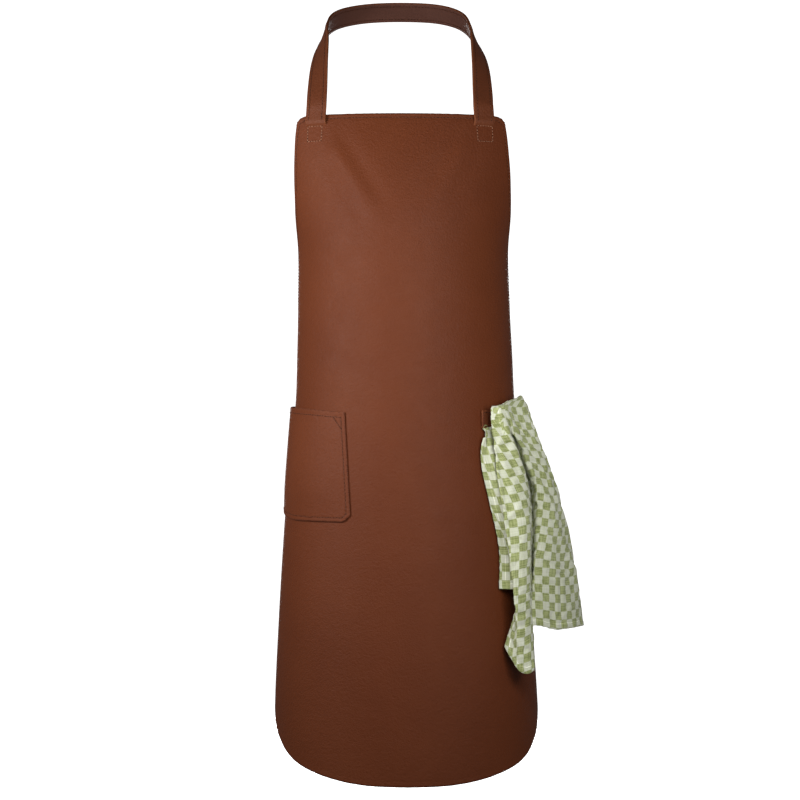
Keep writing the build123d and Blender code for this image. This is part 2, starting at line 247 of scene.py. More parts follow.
def shell(name, outer, thickness, materials, flat=None, normals=None):
    """A closed sheet from a grid of outer points: outer face, inner face and a rounded rim. The flat values
    become an attribute of that name.

    Material 0 is the outer face, 1 the rim with the outermost cells and 2 the inner face."""
    rim_steps, rim_bulge = 4, 0.9
    rows, columns = outer.shape[:2]
    normals = grid_normals(outer) if normals is None else normals
    thickness = np.broadcast_to(np.asarray(thickness, float), (rows, columns))[..., None]
    inner = outer - normals * thickness
    points = [outer.reshape(-1, 3), inner.reshape(-1, 3)]
    index = np.arange(rows * columns).reshape(rows, columns)
    faces, tags = [], []

    def quads(a, b, c, d, tag):
        faces.extend(zip(a.ravel().tolist(), b.ravel().tolist(), c.ravel().tolist(), d.ravel().tolist()))
        tags.extend(np.broadcast_to(tag, a.shape).ravel().tolist())

    outer_tags = np.zeros((rows - 1, columns - 1), int)
    outer_tags[[0, -1]] = outer_tags[:, [0, -1]] = 1
    quads(index[:-1, :-1], index[1:, :-1], index[1:, 1:], index[:-1, 1:], outer_tags)
    back = index + rows * columns
    quads(back[:-1, :-1], back[:-1, 1:], back[1:, 1:], back[1:, :-1], 2)
    border = np.concatenate([index[0, :-1], index[:-1, -1], index[-1, :0:-1], index[:0:-1, 0]])
    flat_outer, flat_inner = points
    side = unit(np.roll(flat_outer[border], -1, 0) - np.roll(flat_outer[border], 1, 0))
    out = unit(np.cross(side, normals.reshape(-1, 3)[border]))
    middle = (flat_outer[border] + flat_inner[border]) / 2
    half = np.linalg.norm(flat_outer[border] - flat_inner[border], axis=1, keepdims=True) / 2
    centre = flat_outer.mean(0)
    if np.sum((middle - centre) * out) < 0:
        out = -out
    rings = [border]
    for k in range(1, rim_steps):
        turn = math.pi * k / rim_steps
        ring = middle + half * (normals.reshape(-1, 3)[border] * math.cos(turn)
                                + out * math.sin(turn) * rim_bulge)
        rings.append(np.arange(len(border)) + sum(len(p) for p in points))
        points.append(ring)
    rings.append(border + rows * columns)
    for a, b in zip(rings, rings[1:]):
        quads(a, np.roll(a, -1), np.roll(b, -1), b, 1)
    obj = make_object(name, np.concatenate(points), faces, materials)
    if len(materials) > 1:
        obj.data.polygons.foreach_set("material_index", tags)
    if flat is not None:
        coordinates = np.zeros((sum(len(p) for p in points), 3))
        coordinates[:rows * columns] = flat.reshape(-1, 3)
        coordinates[rows * columns:2 * rows * columns] = flat.reshape(-1, 3)
        for ring in rings[1:-1]:
            coordinates[ring] = flat.reshape(-1, 3)[border]
        attribute = obj.data.attributes.new("flat", "FLOAT_VECTOR", "POINT")
        attribute.data.foreach_set("vector", coordinates.ravel().astype(np.float32))
    return obj


def ribbon(name, centre, out, width, thickness, materials, crown=0.0):
    """A leather band: a rounded rectangle swept along a line of inner-face points; out points off that face,
    and the outer face is crowned by this much.

    Material 0 is the faces and 1 the cut edges."""
    centre, out = np.asarray(centre, float), np.asarray(out, float)
    run = unit(np.gradient(centre, axis=0))
    across = unit(np.cross(out, run))
    out = unit(np.cross(run, across))
    r = thickness * 0.46
    half = width / 2
    width_steps, edge_turns = 10, np.radians((30, 60, 90, 120, 150))
    profile = []
    for x in np.linspace(-half + r, half - r, width_steps):
        profile.append((x, thickness + crown * (1 - (x / half) ** 2)))
    for a in edge_turns:
        profile.append((half - r + r * math.sin(a), thickness / 2 + (thickness / 2) * math.cos(a)))
    for x in np.linspace(half - r, -half + r, width_steps):
        profile.append((x, 0.0))
    for a in edge_turns:
        profile.append((-half + r - r * math.sin(a), thickness / 2 - (thickness / 2) * math.cos(a)))
    profile = np.array(profile)
    points = np.stack([centre + across * x + out * y for x, y in profile], 1)
    rows, columns = points.shape[:2]
    index = np.arange(rows * columns).reshape(rows, columns)
    faces, tags = [], []
    for k in range(columns):
        j = (k + 1) % columns
        corners = (index[:-1, k], index[:-1, j], index[1:, j], index[1:, k])
        faces += zip(*(corner.tolist() for corner in corners))
        tags += [int(abs(profile[k, 0]) + abs(profile[j, 0]) > 2 * (half - r) + 1e-6)] * (rows - 1)
    faces += [tuple(index[0, ::-1].tolist()), tuple(index[-1].tolist())]
    obj = make_object(name, points.reshape(-1, 3), faces, materials)
    obj.data.polygons.foreach_set("material_index", tags + [1, 1])
    return obj


def stitch_line(line, normals, pitch=stitch_pitch, start=0.0):
    """Centre, direction and normal of each stitch along a line."""
    along = arc_lengths(line)
    count = int((along[-1] - start) / pitch)
    at = start + (np.arange(count) + 0.5) * (along[-1] - start) / max(count, 1)
    tangent = unit(np.gradient(line, axis=0))

    def read(values):
        return np.stack([np.interp(at, along, values[:, k]) for k in range(3)], -1)

    return read(line), unit(read(tangent)), unit(read(normals))


def thread(name, runs, materials):
    """One mesh of short thread stitches, each bowed up from the leather, and the needle's dents between; the
    dents take material 1, which is given near-black colours as painted shade in the holes.
    """
    length, radius, sink = stitch_length, thread_radius, 0.25
    rings, around, dent_around = 7, 7, 8
    dent_half_length, dent_half_width = 0.70 * MM, 0.48 * MM
    dent_rim, dent_top, dent_depth = 0.18 * MM, 0.22 * MM, 0.3 * MM
    points, faces, dents = [], [], []
    for centres, tangents, normals in runs:
        reach = np.linalg.norm(centres[1] - centres[0]) / 2
        for centre, along, up in zip(centres, tangents, normals):
            side = np.cross(up, along)
            dents.append((centre + along * reach, along, side, up))
            along = unit(along + side * rng.normal(0, 0.04))
            base = len(points)
            for i in range(rings):
                s = i / (rings - 1) * 2 - 1
                swell = radius * (0.25 + 0.75 * math.sqrt(max(0.0, 1 - s ** 4)))
                rise = radius * (0.75 - 1.1 * s * s) - radius * sink
                middle = centre + along * s * length / 2 + up * rise
                for k in range(around):
                    a = 2 * math.pi * k / around
                    points.append(middle + (side * math.cos(a) + up * math.sin(a)) * swell)
            for i in range(rings - 1):
                for k in range(around):
                    j = (k + 1) % around
                    a, b = base + i * around, base + (i + 1) * around
                    faces.append((a + k, a + j, b + j, b + k))
            faces.append(tuple(base + k for k in reversed(range(around))))
            faces.append(tuple(base + (rings - 1) * around + k for k in range(around)))
    sewn = len(faces)
    for centre, along, side, up in dents:
        base = len(points)
        for k in range(dent_around):
            a = 2 * math.pi * k / dent_around
            points.append(centre + along * math.cos(a) * dent_half_length
                          + side * math.sin(a) * dent_half_width + up * dent_rim)
        points += [centre + up * dent_top, centre - up * dent_depth]
        top, bottom = base + dent_around, base + dent_around + 1
        for k in range(dent_around):
            j = (k + 1) % dent_around
            faces.append((base + k, base + j, top))
            faces.append((base + j, base + k, bottom))
    obj = make_object(name, points, faces, materials)
    obj.data.polygons.foreach_set("material_index", [0] * sewn + [1] * (len(faces) - sewn))
    return obj


# ---------------------------------------------------------------- materials
class Nodes:
    """A short way to write a material's nodes: an input is a number, a colour or another node's output."""

    def __init__(self, name):
        self.material = bpy.data.materials.new(name)
        self.material.use_nodes = True
        self.tree = self.material.node_tree
        self.shader = self.tree.nodes["Principled BSDF"]

    def add(self, kind, inputs=None, **settings):
        node = self.tree.nodes.new(kind)
        for key, value in settings.items():
            setattr(node, key, value)
        for key, value in (inputs or {}).items():
            if isinstance(value, bpy.types.NodeSocket):
                self.tree.links.new(value, node.inputs[key])
            else:
                node.inputs[key].default_value = value
        return node

    def math(self, operation, *values):
        return self.add("ShaderNodeMath", dict(enumerate(values)), operation=operation).outputs[0]

    def total(self, *weighted):
        """The sum of values, each times its weight."""
        parts = [self.math("MULTIPLY", value, weight) for value, weight in weighted]
        result = parts[0]
        for part in parts[1:]:
            result = self.math("ADD", result, part)
        return result

    def noise(self, vector, scale, detail=3.0, rough=0.55):
        inputs = {"Vector": vector, "Scale": scale, "Detail": detail, "Roughness": rough}
        return self.add("ShaderNodeTexNoise", inputs).outputs["Fac"]

    def ramp(self, factor, stops):
        node = self.add("ShaderNodeValToRGB", {"Fac": factor})
        elements = node.color_ramp.elements
        while len(elements) < len(stops):
            elements.new(0.5)
        for element, (position, colour) in zip(elements, stops):
            element.position = position
            element.color = (*colour, 1.0)
        return node.outputs["Color"]

    def mix(self, factor, a, b):
        node = self.add("ShaderNodeMix", data_type="RGBA")
        for key, value in ((0, factor), (6, a), (7, b)):
            if isinstance(value, bpy.types.NodeSocket):
                self.tree.links.new(value, node.inputs[key])
            else:
                node.inputs[key].default_value = value if key == 0 else (*value, 1.0)
        return node.outputs[2]

    def position(self):
        return self.add("ShaderNodeTexCoord").outputs["Object"]

    def bump(self, height, strength, distance):
        inputs = {"Height": height, "Strength": strength, "Distance": distance}
        return self.add("ShaderNodeBump", inputs).outputs["Normal"]

    def stretched_noise(self, vector, stretch, detail=3.0):
        stretched = self.add("ShaderNodeMapping", {"Vector": vector, "Scale": stretch}).outputs[0]
        return self.noise(stretched, 1.0, detail)

    def set(self, **inputs):
        for key, value in inputs.items():
            socket = self.shader.inputs[key.replace("_", " ")]
            if isinstance(value, bpy.types.NodeSocket):
                self.tree.links.new(value, socket)
            else:
                socket.default_value = value
        return self.material


def leather(name, dark, light, roughness=(0.50, 0.60), grain=1.0):
    """Grained leather: mottled dye, a fine pebble of creased cells and a broken satin finish."""
    cell_scale = 900.0
    n = Nodes(name)
    where = n.position()
    mottle = n.noise(where, 9.0, 3.0)
    speckle = n.noise(where, 420.0, 3.0)
    colour = n.ramp(n.total((mottle, 0.8), (speckle, 0.2)), [(0.25, dark), (0.75, light)])
    cells = n.add("ShaderNodeTexVoronoi", {"Vector": where, "Scale": cell_scale, "Randomness": 0.95},
                  feature="SMOOTH_F1").outputs["Distance"]
    pores = n.noise(where, cell_scale * 2.2, 2.0)
    creases = n.noise(where, 160.0, 5.0, 0.62)
    pebbles = n.noise(where, 340.0, 3.0, 0.6)
    height = n.total((cells, 0.6), (pores, 0.25), (creases, 0.6), (pebbles, 1.3))
    normal = n.bump(height, 0.75 * grain, 0.0008)
    patches = n.noise(where, 60.0, 4.0)
    finish = n.add("ShaderNodeMapRange", {"Value": patches, "From Min": 0.3, "From Max": 0.7,
                                          "To Min": roughness[0], "To Max": roughness[1]}).outputs[0]
    return n.set(Base_Color=colour, Roughness=finish, Normal=normal, Specular_IOR_Level=0.14)


def suede(name, dark, light):
    """The flesh side of a hide: matt, fibrous, with a soft nap."""
    n = Nodes(name)
    where = n.position()
    tone = n.total((n.noise(where, 30.0, 5.0), 0.6), (n.noise(where, 700.0, 3.0), 0.4))
    normal = n.bump(n.noise(where, 900.0, 4.0, 0.7), 0.5, 0.0008)
    return n.set(Base_Color=n.ramp(tone, [(0.35, dark), (0.65, light)]), Roughness=0.9, Normal=normal,
                 Sheen_Weight=0.25, Specular_IOR_Level=0.2)


def cut_edge(name, dark, light):
    """A cut and burnished leather edge: layered fibres under a dark dressing. Given near-black colours it
    also stands for the needle holes, as painted shade.
    """
    n = Nodes(name)
    layers = n.stretched_noise(n.position(), (300.0, 300.0, 1600.0), 4.0)
    normal = n.bump(layers, 0.4, 0.0004)
    return n.set(Base_Color=n.ramp(layers, [(0.35, dark), (0.65, light)]), Roughness=0.7, Normal=normal,
                 Specular_IOR_Level=0.12)


def sewing_thread(name, dark, light):
    """Bonded thread: a twisted ply shows as fine slanted bands."""
    n = Nodes(name)
    where = n.position()
    twist = n.add("ShaderNodeTexWave", {"Vector": where, "Scale": 420.0, "Distortion": 3.0, "Detail": 2.0},
                  bands_direction="DIAGONAL").outputs["Fac"]
    return n.set(Base_Color=n.ramp(twist, [(0.2, dark), (0.8, light)]), Roughness=0.7,
                 Normal=n.bump(twist, 0.5, 0.0002), Specular_IOR_Level=0.12)


def aged_brass(name):
    """Brass with brown patina in patches and fine scratches."""
    n = Nodes(name)
    where = n.position()
    patina = n.noise(where, 260.0, 5.0, 0.65)
    scratches = n.stretched_noise(where, (900.0, 900.0, 90.0), 2.0)
    finish = n.add("ShaderNodeMapRange", {"Value": patina, "To Min": 0.24, "To Max": 0.5}).outputs[0]
    return n.set(Base_Color=n.ramp(patina, [(0.35, (0.10, 0.055, 0.022)), (0.65, (0.42, 0.27, 0.11))]),
                 Roughness=finish, Metallic=1.0, Normal=n.bump(scratches, 0.12, 0.0001))


def check_cloth(name, check, hem_width):
    """Woven cotton: a checkerboard of pale and green squares, slubby yarns both ways, softened edges."""
    n = Nodes(name)
    flat = n.add("ShaderNodeAttribute", attribute_name="flat").outputs["Vector"]
    wobble = n.add("ShaderNodeTexNoise", {"Vector": flat, "Scale": 160.0, "Detail": 2.0}).outputs["Color"]
    shift = n.add("ShaderNodeVectorMath", {0: wobble, 1: (0.5, 0.5, 0.5)}, operation="SUBTRACT").outputs[0]
    shift = n.add("ShaderNodeVectorMath", {0: shift, 3: 0.0011}, operation="SCALE").outputs[0]
    place = n.add("ShaderNodeVectorMath", {0: flat, 1: shift}, operation="ADD").outputs[0]
    parts = n.add("ShaderNodeSeparateXYZ", {"Vector": place})
    waves = [n.math("SINE", n.math("MULTIPLY", parts.outputs[k], math.pi / check)) for k in range(2)]
    checker = n.math("MULTIPLY", *waves)
    green = n.add("ShaderNodeMapRange", {"Value": checker, "From Min": -0.045, "From Max": 0.045}).outputs[0]
    raw = n.add("ShaderNodeSeparateXYZ", {"Vector": flat})
    warp_pitch, weft_pitch = 0.00085, 0.00095
    yarns = [n.math("SINE", n.math("MULTIPLY", raw.outputs[k], 2 * math.pi / pitch))
             for k, pitch in ((0, warp_pitch), (1, weft_pitch))]
    weave = n.math("MULTIPLY", *yarns)
    slub = n.math("ADD", n.stretched_noise(flat, (900.0, 40.0, 1.0)),
                  n.stretched_noise(flat, (40.0, 900.0, 1.0)))
    fleck = n.math("MULTIPLY", n.math("SUBTRACT", slub, 1.0), 2.4)
    pale = n.ramp(n.math("ADD", 0.5, fleck), [(0.2, (0.82, 0.84, 0.66)), (0.8, (0.98, 0.98, 0.88))])
    sage = n.ramp(n.math("ADD", 0.5, fleck), [(0.2, (0.24, 0.27, 0.090)), (0.8, (0.56, 0.60, 0.29))])
    # Along the hem's stitch line the cloth is dented in the bump and mixed towards dark olive in colour:
    # painted shade in the seam's groove.
    seam = n.math("ABSOLUTE", n.math("SUBTRACT", raw.outputs[2], hem_width))
    seam = n.add("ShaderNodeMapRange", {"Value": seam, "From Max": 0.0007}).outputs[0]
    height = n.total((weave, 0.35), (slub, 0.8), (seam, 1.2))
    squares = n.mix(green, sage, pale)
    shaded = n.mix(n.math("MULTIPLY", seam, 0.45), squares, (0.16, 0.19, 0.06))
    return n.set(Base_Color=shaded, Roughness=0.86, Normal=n.bump(height, 0.55, 0.0006),
                 Sheen_Weight=0.2, Specular_IOR_Level=0.25)


apron_leather = leather("apron_leather", (0.095, 0.0214, 0.0058), (0.117, 0.0283, 0.0083))
pocket_leather = leather("pocket_leather", (0.098, 0.0224, 0.0063), (0.121, 0.0296, 0.0089))
strap_leather = leather("strap_leather", (0.095, 0.0245, 0.0085), (0.128, 0.035, 0.013),
                        roughness=(0.45, 0.55))
lining_leather = leather("lining_leather", (0.075, 0.029, 0.019), (0.105, 0.043, 0.030), grain=0.7)
flesh_side = suede("flesh_side", (0.20, 0.095, 0.050), (0.30, 0.155, 0.088))
raw_edge = cut_edge("raw_edge", (0.055, 0.014, 0.007), (0.14, 0.042, 0.018))
brown_thread = sewing_thread("brown_thread", (0.050, 0.015, 0.008), (0.13, 0.046, 0.024))
# The box stitches' thread is tan and lighter than the other thread: partly its own colour, partly a painted
# highlight for light falling on the raised stitches.
tan_thread_painted_highlight = sewing_thread("tan_thread_painted_highlight", (0.16, 0.062, 0.034), (0.34, 0.17, 0.105))
# The needle holes are painted near black: painted shade in the dents between stitches, not a colour of the
# leather.
needle_hole_painted_shade = cut_edge("needle_hole_painted_shade", (0.012, 0.004, 0.002), (0.03, 0.009, 0.004))
strap_edge = cut_edge("strap_edge", (0.09, 0.024, 0.009), (0.22, 0.068, 0.025))
brass = aged_brass("aged_brass")
towel_cloth = check_cloth("towel_cloth", check_size, hem_width)


# ---------------------------------------------------------------- apron panel
def outline_side():
    """The right-hand outline as (angle, height) points, from the bib's top edge to the middle of the hem."""
    edge_knots = arc_lengths(side_edge)
    edge = smooth(np.linspace(0, edge_knots[-1], 420), edge_knots, side_edge)
    line = np.concatenate([smooth(np.linspace(0, 3, 10), range(4), bib_corner)[:-1], edge])
    behind, z = line[:, 0], line[:, 1]
    half_depth = form_at(z)[1]
    angle = np.degrees(np.arccos(np.clip(-behind / half_depth, -1, 1)))
    angle[-1] = 0.0
    return np.stack([angle, z], -1)


def relief(points, angle, z):
    """How far the hide stands off the form: slow waves in the chest and the skirt, and the two folds that
    run down and inwards from the strap's ends."""
    x = points[..., 0]
    skirt_top, skirt_fade, chest_z, chest_reach = -0.60, 0.30, -0.26, 0.07
    skirt = np.clip((skirt_top - z) / skirt_fade, 0, 1) ** 1.3
    waves = 1.6 * np.sin(np.radians(angle * 3.1 + 35) + 2.1 * z)
    waves = waves + 1.0 * np.sin(np.radians(angle * 5.3 - 20) - 5 * z)
    total = skirt * waves * MM
    chest = np.exp(-((z - chest_z) / chest_reach) ** 2)
    total += chest * 0.7 * MM * np.sin(np.radians(angle * 4.2 - 25) + 14 * z)
    fold_x, fold_z, fold_run = 0.097, -0.170, (0.52, -0.85)
    ridge_width, hollow_place, hollow_width, hollow_share = 0.011, 0.017, 0.010, 0.6
    for side, length, depth in ((-1, 0.14, 2.4), (1, 0.11, 1.2)):
        start = np.array([side * fold_x, fold_z])
        reach = length * np.array([-side * fold_run[0], fold_run[1]])
        along = ((x - start[0]) * reach[0] + (z - start[1]) * reach[1]) / length ** 2
        along = np.clip(along, 0, 1)
        gap = np.hypot(x - start[0] - along * reach[0], z - start[1] - along * reach[1])
        fold = np.exp(-(gap / ridge_width) ** 2)
        fold -= hollow_share * np.exp(-((gap - hollow_place) / hollow_width) ** 2)
        total += depth * MM * fold * np.sin(math.pi * np.clip(along * 0.9 + 0.08, 0, 1))
    # The hide lies flat on the form where the strap is sewn to it
    sewn_z, sewn_reach = -0.172, 0.026
    return total * (1 - np.exp(-(np.hypot(np.abs(x) - strap_foot_x, z - sewn_z) / sewn_reach) ** 4))


def steady_corners(normals, block=4):
    """The outline runs straight through the grid's lower corners, so normals there come from further in."""
    normals[-block:, :block] = normals[-block - 1, block]
    normals[-block:, -block:] = normals[-block - 1, -block - 1]
    return normals


def edge_distance(points, border):
    """Distance from each point to the outline."""
    tree = KDTree(len(border))
    for i, p in enumerate(border):
        tree.insert(p, i)
    tree.balance()
    return np.array([tree.find(p)[2] for p in points.reshape(-1, 3)]).reshape(points.shape[:-1])


half_outline = outline_side()
# The panel's grid has its upper corners on the bib's rounded corners and its lower ones where the hem starts
corner_at = 5
hem_start_z = -0.915
hem_split = int(np.argmin(np.abs(half_outline[:, 1] - hem_start_z)))
right_line = half_outline[corner_at:hem_split + 1]
top_half = half_outline[:corner_at + 1]
hem_half = half_outline[hem_split:]
flip = np.array([-1.0, 1.0])
steps_across = np.linspace(-top_half[0, 0], top_half[0, 0], 60)[1:-1]
top_edge = np.concatenate([top_half[::-1] * flip,
                           np.stack([steps_across, np.full(len(steps_across), bib_top_z)], -1), top_half])
hem_edge = np.concatenate([hem_half * flip, hem_half[::-1][1:]])
# Metres round the form for one degree, and for one metre of height
metric = np.array([0.0025, 1.0])


def panel_grid(u, v):
    """Angle and height of each point of the panel's grid."""
    scaled = [line * metric for line in (top_edge, hem_edge, right_line * flip, right_line)]
    return coons(*scaled, u, v) / metric


# Thirteen fine steps along each edge carry its lip and groove
panel_u = graded(13, 0.0030, 84)
panel_v = graded(13, 0.0010, 176)
flat_grid = panel_grid(panel_u, panel_v)
panel_angle, panel_z = flat_grid[..., 0], flat_grid[..., 1]
panel_base = form_point(panel_angle, panel_z)
border_step = 0.6 * MM
border_line = np.concatenate([panel_base[0, :-1], panel_base[:-1, -1], panel_base[-1, :0:-1],
                              panel_base[:0:-1, 0]])
dense_border = resample(np.concatenate([border_line, border_line[:1]]), step=border_step)
to_edge = edge_distance(panel_base, dense_border)
stitch_inset = 6.4 * MM
stitch_end_z = waist_z + 20 * MM
# Above the waist the edge has a lip, and a groove under its stitches; it is rolled over all round
stitched = 1 / (1 + np.exp(-(panel_z - stitch_end_z) / (3 * MM)))
lip = 0.22 * MM * np.exp(-((to_edge - 1.9 * MM) / (1.3 * MM)) ** 2)
groove = -0.30 * MM * np.exp(-((to_edge - stitch_inset) / (0.8 * MM)) ** 2)
roll = -0.5 * MM * np.exp(-to_edge / (0.7 * MM))
panel_normal = steady_corners(facing_down_axis(grid_normals(panel_base), 1))
panel_off = relief(panel_base, panel_angle, panel_z) + (lip + groove) * (0.25 + 0.75 * stitched) + roll
panel_outer = panel_base + panel_normal * panel_off[..., None]
fine_normal = steady_corners(facing_down_axis(grid_normals(panel_outer), 1))


def surface_reader(grid):
    """A way to drop points on to a grid surface: gives the nearest points, and normals away from the body."""
    tree = BVHTree.FromPolygons([tuple(p) for p in grid.reshape(-1, 3)], grid_quads(*grid.shape[:2]))

    def read(points):
        found = [tree.find_nearest(Vector(p)) for p in points]
        spots = np.array([f[0] for f in found])
        facing = np.array([f[1] for f in found])
        away = (spots - (0.0, body_y, 0.0)) * (1, 1, 0)
        facing *= np.where(np.sum(facing * away, 1) < 0, -1.0, 1.0)[:, None]
        return spots, facing
    return read


on_panel = surface_reader(panel_outer)

apron_panel = shell("apron_hide", panel_outer, hide, [apron_leather, raw_edge, flesh_side],
                    normals=fine_normal)


def line_at_inset(inset):
    """The panel's outline moved in by inset, from one waist side up round the bib to the other."""
    side = resample(right_line * metric, count=900) / metric
    run = np.concatenate([(side * flip)[::-1], top_edge[1:-1], side[1:]])
    spots = form_point(run[:, 0], run[:, 1])
    normals = on_panel(spots)[1]
    tangent = unit(np.gradient(spots, axis=0))
    panel_middle = np.array([0.0, body_y - 0.12, -0.4])
    moved = spots + turned_to(panel_middle, spots, np.cross(tangent, normals)) * inset
    keep = moved[:, 2] > stitch_end_z
    return on_panel(resample(moved[keep], step=1.2 * MM))


panel_runs = [stitch_line(*line_at_inset(stitch_inset))]


# ---------------------------------------------------------------- neck strap
def strap_foot(side):
    """Origin on the bib's outer face at a slit, and the directions across, up the leather and outwards."""
    height = bib_top_z - slit_drop

    def front_y(z):
        half_width, half_depth, lean = form_at(z)
        return body_y - half_depth * math.sqrt(1 - ((side * strap_foot_x - lean) / half_width) ** 2)

    half_width, half_depth, lean = form_at(height)
    x, y = side * strap_foot_x - lean, front_y(height) - body_y
    across = unit(np.array([-y / half_depth ** 2, x / half_width ** 2, 0.0]))
    up = unit(np.array([0.0, front_y(height + 8 * MM) - front_y(height - 22 * MM), 30 * MM]))
    out = unit(np.cross(across, up))
    return np.array([side * strap_foot_x, front_y(height), height]), across, np.cross(out, across), out


feet = {"left": strap_foot(-1), "right": strap_foot(1)}
strap_thickness = strap_outer + glue_line + strap_lining


def catmull(points, per_span=6):
    """A smooth line through the points, with the same number of steps in each span."""
    knots = np.arange(len(points), dtype=float)
    at = np.linspace(0, knots[-1], (len(points) - 1) * per_span + 1)
    return smooth(at, knots, np.asarray(points, float))


def strap_line():
    """Centre points and back directions of the whole neck strap, tab to tab."""
    def end_part(foot):
        origin, across, up, out = foot
        inside = -(hide + tab_clearance + strap_thickness)
        # Stand-off from the bib's outer face and height above the slit: the hidden tab, the slit, the front
        rows = [(inside, -tab_length), (inside, -22 * MM), (inside, -14 * MM),
                (inside + 0.15 * MM, -9.0 * MM), (inside + 2.2 * MM, -5.4 * MM), (-2.2 * MM, -3.4 * MM),
                (fit_gap, -0.2 * MM), (fit_gap, 6.0 * MM), (fit_gap, 12.0 * MM), (fit_gap, 21.5 * MM)]
        return [(origin + out * o + up * u, out) for o, u in rows]

    left, right = end_part(feet["left"]), end_part(feet["right"])
    middle = [(np.array(p) * MM, np.array(n)) for p, n in loop_path]
    stations = left + middle + right[::-1]
    spots = catmull([p for p, _ in stations])
    backs = unit(catmull([n for _, n in stations]))
    return spots, backs


strap_spots, strap_backs = strap_line()
run = unit(np.gradient(strap_spots, axis=0))
strap_across = unit(np.cross(strap_backs, run))
strap_out = unit(np.cross(run, strap_across))
lining = ribbon("neck_strap_lining_leather", strap_spots, strap_out, strap_width - 0.6 * MM, strap_lining,
                [lining_leather, strap_edge])
outer = ribbon("neck_strap_leather", strap_spots + strap_out * (strap_lining + glue_line), strap_out,
               strap_width, strap_outer, [strap_leather, strap_edge], crown=0.35 * MM)

strap_runs = []
# The strap's own stitches stop where it goes behind the bib, six spans of six steps from each end
in_front = slice(37, -37)
for face, facing in ((strap_thickness + 0.2 * MM, 1.0), (0.0, -1.0)):
    for place in (-strap_seam, strap_seam):
        seam = (strap_spots + strap_out * face + strap_across * place)[in_front]
        strap_runs.append(stitch_line(seam, strap_out[in_front] * facing))


# ---------------------------------------------------------------- box stitches on the strap ends
box_steps = 24


def box_stitch(foot, left, right, top, bottom):
    """A sewn rectangle on the bib below a slit, which holds the strap's tab behind it."""
    origin, across, up, out = foot
    corners = [(left, top), (right, top), (right, bottom), (left, bottom), (left, top)]
    runs = []
    for (x0, y0), (x1, y1) in zip(corners, corners[1:]):
        share = np.linspace(0, 1, box_steps)[:, None]
        line = origin + across * (x0 + (x1 - x0) * share) + up * (y0 + (y1 - y0) * share)
        runs.append(stitch_line(*on_panel(line), pitch=3.6 * MM))
    return runs


# ---------------------------------------------------------------- side pocket
pocket_top = np.array([-68.0, -521.5]) * MM
pocket_bottom = np.array([-60.5, -656.0]) * MM
pocket_chamfer = 8.0 * MM
pocket_slope = 13.0 * MM
pocket_side_x = -220.0 * MM
pocket_back = 24.0 * MM
pocket_leather_thickness = 1.7 * MM


def front_angle(x, z):
    """Angle on the form of a point seen from the front at x and z, front side."""
    half_width, half_depth, lean = form_at(z)
    return np.degrees(np.arcsin(np.clip((x - lean) / half_width, -1, 1)))


def back_angle(z):
    """Angle of the pocket's hidden back edge."""
    return -(180 - np.degrees(np.arccos(np.clip(pocket_back / form_at(z)[1], -1, 1))))


def pocket_lines():
    """The pocket's four boundary lines as (angle, height) points."""
    share = np.linspace(0, 1, 40)
    # The front edge, which stops where the chamfer takes its place
    front_x = pocket_top[0] + (pocket_bottom[0] - pocket_top[0]) * share * 0.94
    front_z = pocket_top[1] + (pocket_bottom[1] + pocket_chamfer - pocket_top[1]) * share
    front = np.stack([front_angle(front_x, front_z), front_z], -1)
    chamfer_x = front_x[-1] - pocket_chamfer * share[::4]
    chamfer_z = front_z[-1] - pocket_chamfer * share[::4]
    chamfer = np.stack([front_angle(chamfer_x, chamfer_z), chamfer_z], -1)
    # The mouth slopes up to the side, and is a little higher still where it is out of sight
    back_top = back_angle(pocket_top[1])
    top_angles = np.linspace(back_top, front[0, 0], 60)
    top_x = form_point(top_angles, pocket_top[1])[:, 0]
    hidden = np.clip((-top_angles - 80) / 20, 0, 1)
    top_z = pocket_top[1] + pocket_slope * (pocket_top[0] - top_x) / (pocket_top[0] - pocket_side_x)
    top = np.stack([top_angles, top_z + 1.5 * MM * hidden], -1)
    # The bottom rises round the side
    bottom_angles = np.linspace(back_angle(pocket_bottom[1]), chamfer[-1, 0], 60)
    rise = np.clip((-bottom_angles - 60) / 40, 0, 1) ** 1.5 * 13 * MM
    bottom = np.stack([bottom_angles, pocket_bottom[1] + rise], -1)
    back_z = np.linspace(top[0, 1], bottom[0, 1], 40)
    back = np.stack([np.linspace(top[0, 0], bottom[0, 0], 40), back_z], -1)
    bottom_line = np.concatenate([bottom, chamfer[:-1][::-1]])
    return top, bottom_line, back, front


